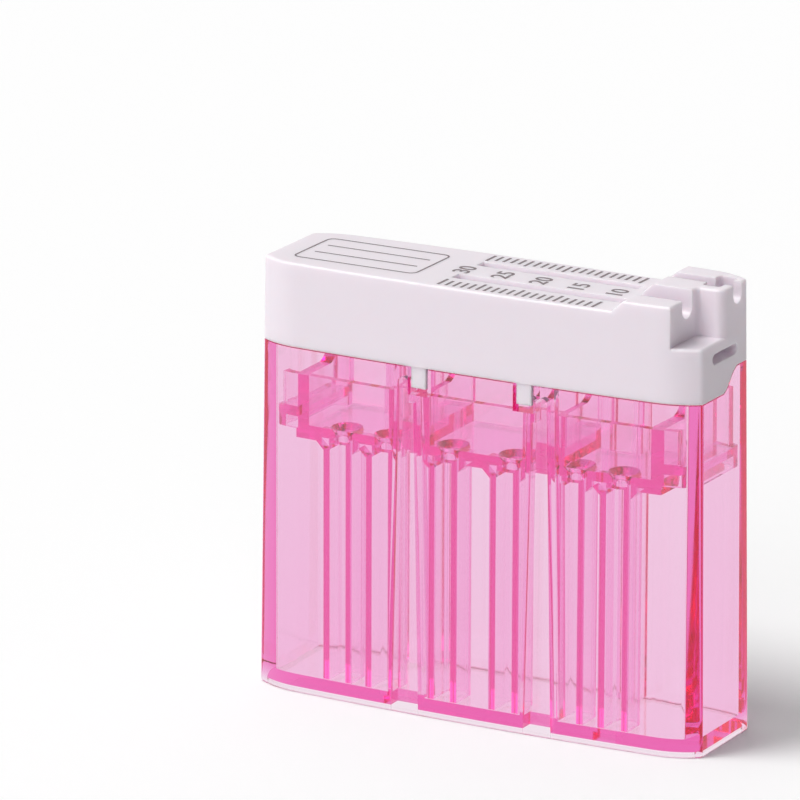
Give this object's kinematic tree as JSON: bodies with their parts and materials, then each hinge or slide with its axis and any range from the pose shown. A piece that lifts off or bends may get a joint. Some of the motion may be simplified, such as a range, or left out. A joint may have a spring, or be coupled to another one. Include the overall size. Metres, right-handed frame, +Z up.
{
  "type": "endodontic file box",
  "caption": "Slim clear tub with a lift-out file tray and a hinged white measuring lid for standing endodontic files upright.",
  "frame": {"origin": "centre of the foot, on the surface the box stands on", "axes": "+X along the long side towards the lid's raised end, +Y towards the hinge at the back, +Z up"},
  "size_m": [0.0586, 0.017, 0.0543],
  "materials": {
    "clear_pink": "clear pink, polished",
    "clear_pink_tray": "clear pink, polished",
    "white_lid": "fine satin",
    "lid_marks": "flat print",
    "steel_pin": "drawn wire"
  },
  "bodies": {
    "box": {"tub": "clear_pink", "file_tray": "clear_pink_tray", "hinge_pin_left": "steel_pin", "hinge_pin_right": "steel_pin"},
    "lid": {"lid": "white_lid"}
  },
  "joints": [
    {"name": "lid_hinge", "type": "hinge", "parent": "box", "child": "lid", "pos_m": [0, 0.00685, 0.0446], "axis": [-1, 0, 0], "range_deg": [0, 100]}
  ]
}
